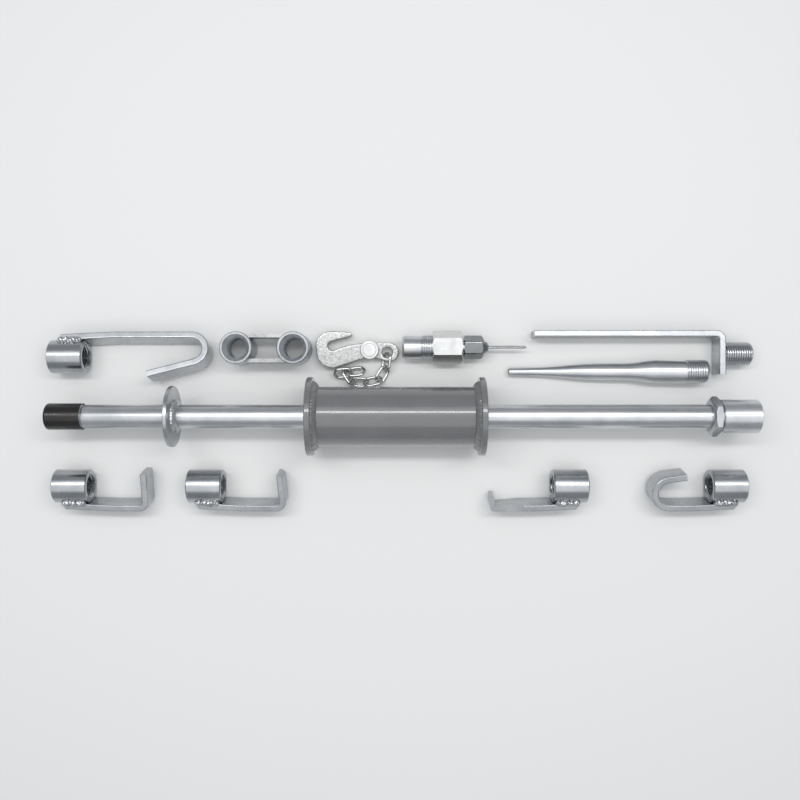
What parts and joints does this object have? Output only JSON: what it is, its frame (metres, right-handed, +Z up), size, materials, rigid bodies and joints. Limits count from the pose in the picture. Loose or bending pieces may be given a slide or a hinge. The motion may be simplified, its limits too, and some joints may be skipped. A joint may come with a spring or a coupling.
{
  "type": "slide hammer puller set",
  "caption": "Slide hammer with a flanged sliding weight on a long rod, laid out with its pull hooks, double link, chain grab hook, dent puller, L bar and taper rod.",
  "frame": {"origin": "on the floor, under the middle of the laid-out set", "axes": "+X along the rod from the capped end to the coupling, +Y towards the row with the chain, +Z up"},
  "size_m": [0.7612, 0.1963, 0.0841],
  "materials": {
    "zinc": "satin zinc plate",
    "weld": "plated weld bead",
    "bright_plate": "bright nickel plate",
    "grey_paint": "gloss grey paint",
    "black_vinyl": "smooth black dipped vinyl"
  },
  "bodies": {
    "rod": {"main_rod": "zinc", "guard_washer": "zinc", "guard_weld": "weld", "jam_nut": "bright_plate", "end_coupling": "zinc"},
    "weight": {"weight_tube": "grey_paint", "weight_flange_front": "grey_paint", "weight_flange_rear": "grey_paint", "weight_welds": "grey_paint"},
    "cap": {"thread_cap": "black_vinyl"},
    "long_hook": {"long_hook_socket": "zinc", "long_hook_bar": "zinc", "long_hook_weld": "weld"},
    "wide_hook": {"wide_hook_socket": "zinc", "wide_hook_bar": "zinc", "wide_hook_weld": "weld"},
    "narrow_hook": {"narrow_hook_socket": "zinc", "narrow_hook_bar": "zinc", "narrow_hook_weld": "weld"},
    "lip_hook": {"lip_hook_socket": "zinc", "lip_hook_bar": "zinc", "lip_hook_weld": "weld"},
    "round_hook": {"round_hook_socket": "zinc", "round_hook_bar": "zinc", "round_hook_weld": "weld"},
    "double_link": {"link_tube_left": "zinc", "link_tube_right": "zinc", "link_strips": "zinc"},
    "chain_set": {"hook_pin": "bright_plate", "shackle_tongue": "bright_plate", "chain_links": "bright_plate"},
    "grab_hook": {"grab_hook": "bright_plate"},
    "dent_puller": {"puller_rod": "zinc", "puller_nut": "bright_plate", "puller_screw": "weld"},
    "chuck": {"chuck_nut": "bright_plate"},
    "l_bar": {"l_bar": "zinc", "l_bar_stud": "zinc"},
    "taper_rod": {"taper_rod": "zinc"}
  },
  "joints": [
    {"name": "weight_slide", "type": "slide", "parent": "rod", "child": "weight", "axis": [1, 0, 0], "range_m": [-0.1345, 0.235]},
    {"name": "cap_pull", "type": "slide", "parent": "rod", "child": "cap", "axis": [-1, 0, 0], "range_m": [0, 0.05]},
    {"name": "long_hook_lift", "type": "slide", "parent": "rod", "child": "long_hook", "axis": [0, 0.5, 0.866], "range_m": [0, 0.12]},
    {"name": "wide_hook_lift", "type": "slide", "parent": "rod", "child": "wide_hook", "axis": [0, 0, 1], "range_m": [0, 0.12]},
    {"name": "narrow_hook_lift", "type": "slide", "parent": "rod", "child": "narrow_hook", "axis": [0, 0, 1], "range_m": [0, 0.12]},
    {"name": "lip_hook_lift", "type": "slide", "parent": "rod", "child": "lip_hook", "axis": [0, 0, 1], "range_m": [0, 0.12]},
    {"name": "round_hook_lift", "type": "slide", "parent": "rod", "child": "round_hook", "axis": [0, 0, 1], "range_m": [0, 0.12]},
    {"name": "double_link_lift", "type": "slide", "parent": "rod", "child": "double_link", "axis": [0, 0.5, 0.866], "range_m": [0, 0.12]},
    {"name": "chain_set_lift", "type": "slide", "parent": "rod", "child": "chain_set", "axis": [0, 0.5, 0.866], "range_m": [0, 0.12]},
    {"name": "grab_hook_swing", "type": "hinge", "parent": "chain_set", "child": "grab_hook", "pos_m": [-0.0367, 0.0773, 0.0063], "axis": [0, 0, 1], "range_deg": [-70, 0]},
    {"name": "dent_puller_lift", "type": "slide", "parent": "rod", "child": "dent_puller", "axis": [0, 0.5, 0.866], "range_m": [0, 0.12]},
    {"name": "chuck_turn", "type": "hinge", "parent": "dent_puller", "child": "chuck", "pos_m": [0.0771, 0.08, 0.01575], "axis": [1, 0, 0], "continuous": true},
    {"name": "l_bar_lift", "type": "slide", "parent": "rod", "child": "l_bar", "axis": [0, 0.5, 0.866], "range_m": [0, 0.12]},
    {"name": "taper_rod_lift", "type": "slide", "parent": "rod", "child": "taper_rod", "axis": [0, 0.5, 0.866], "range_m": [0, 0.12]}
  ]
}
